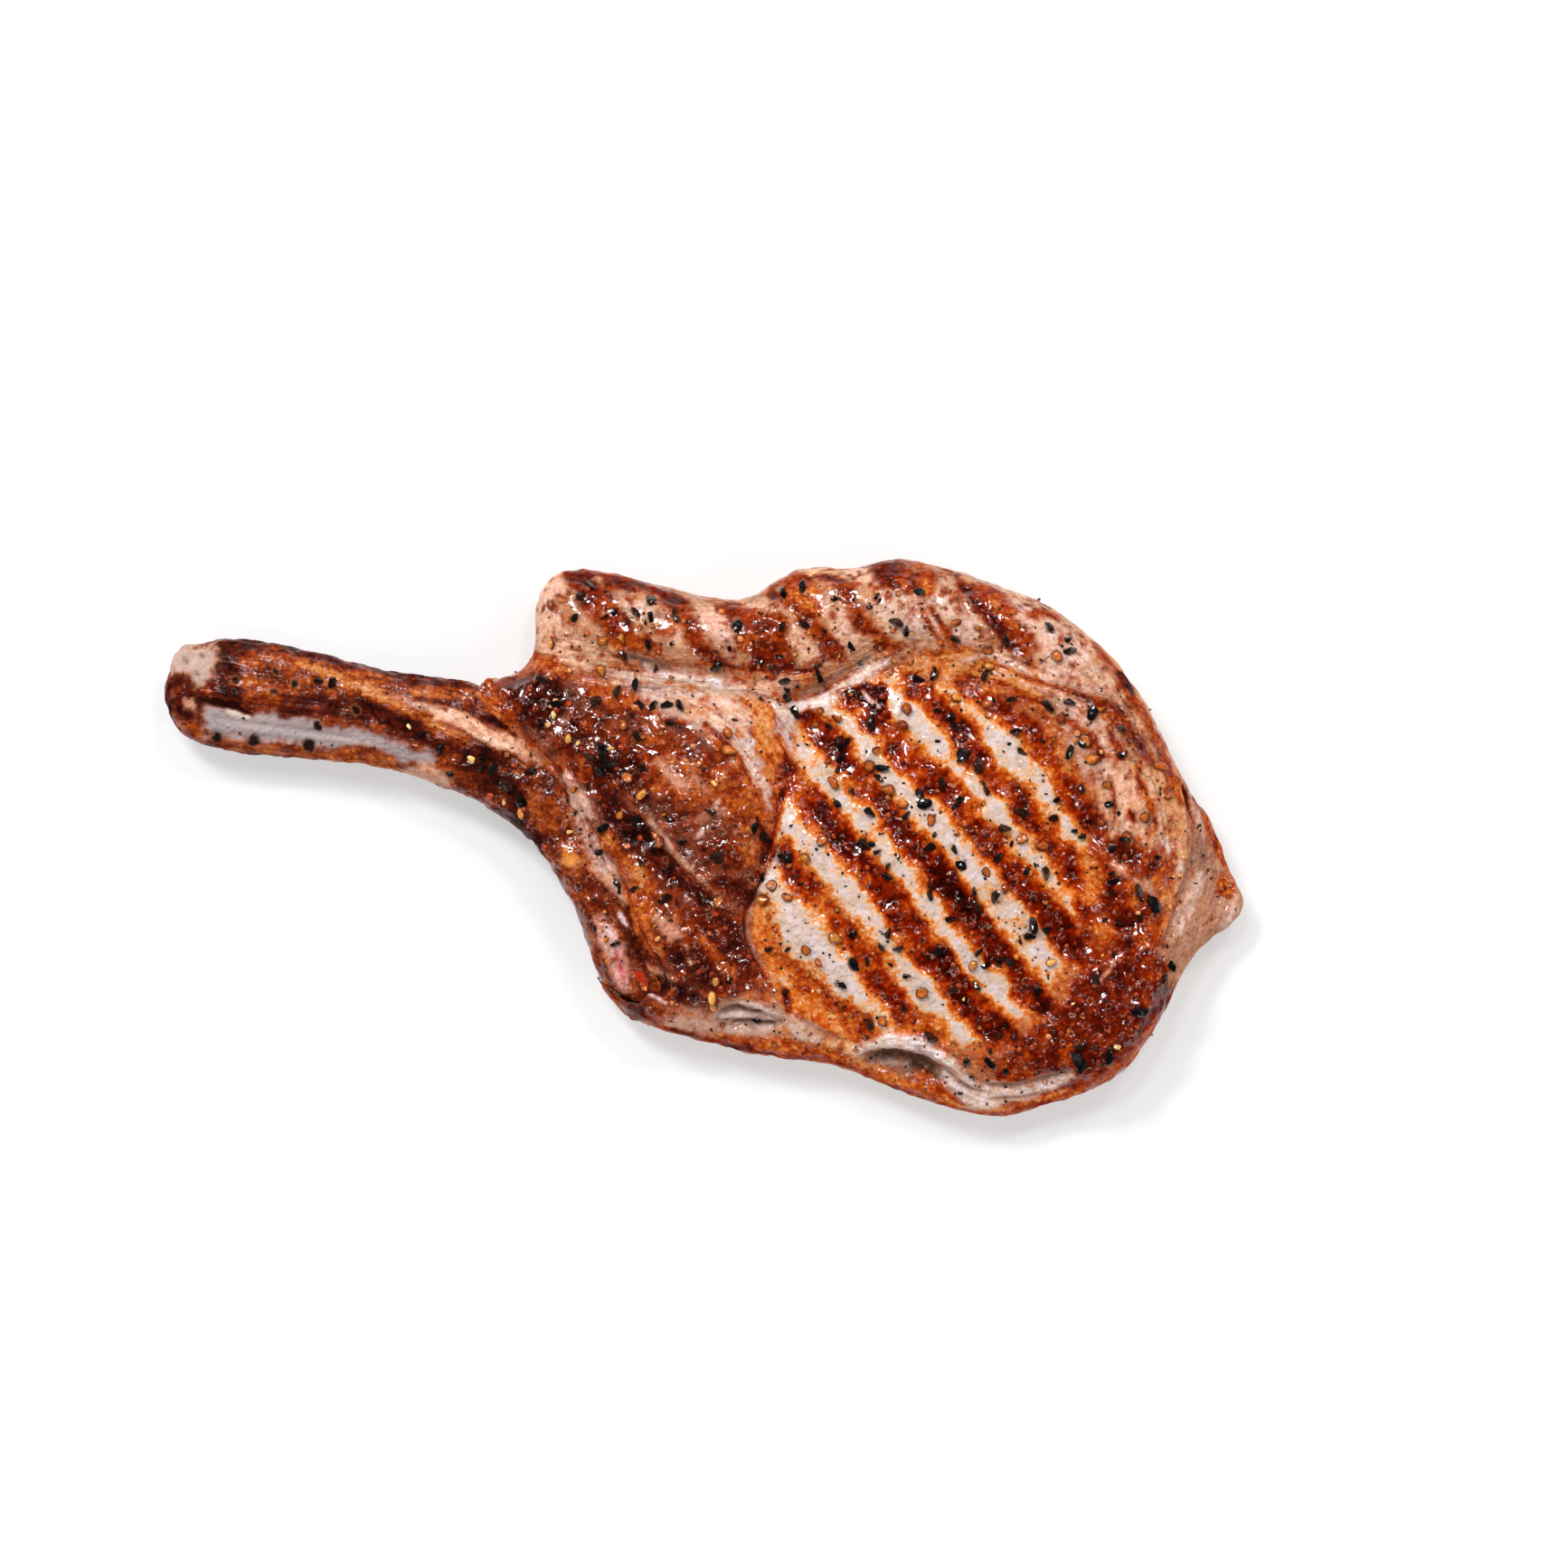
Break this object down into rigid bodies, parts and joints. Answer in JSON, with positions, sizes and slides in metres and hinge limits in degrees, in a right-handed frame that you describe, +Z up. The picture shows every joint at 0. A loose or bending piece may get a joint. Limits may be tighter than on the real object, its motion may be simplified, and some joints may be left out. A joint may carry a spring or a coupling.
{
  "type": "grilled pork chop",
  "caption": "Bone-in grilled pork rib chop lying flat, with a long rib bone as a handle, a round loin eye, a fat cap and a thin flap.",
  "frame": {"origin": "middle of the chop's footprint, at table height", "axes": "+X from the handle bone towards the thin flap, +Y towards the fat cap, +Z up out of the shown face"},
  "size_m": [0.2264, 0.117, 0.0217],
  "materials": {
    "grilled_meat": "glossy seared meat with dark grill bars, orange-brown crust, pale meat and fat",
    "browned_bone": "grey-white rib bone under patches of browned membrane"
  },
  "bodies": {
    "root": {"loin_meat": "grilled_meat", "rib_bone": "browned_bone"}
  },
  "joints": []
}
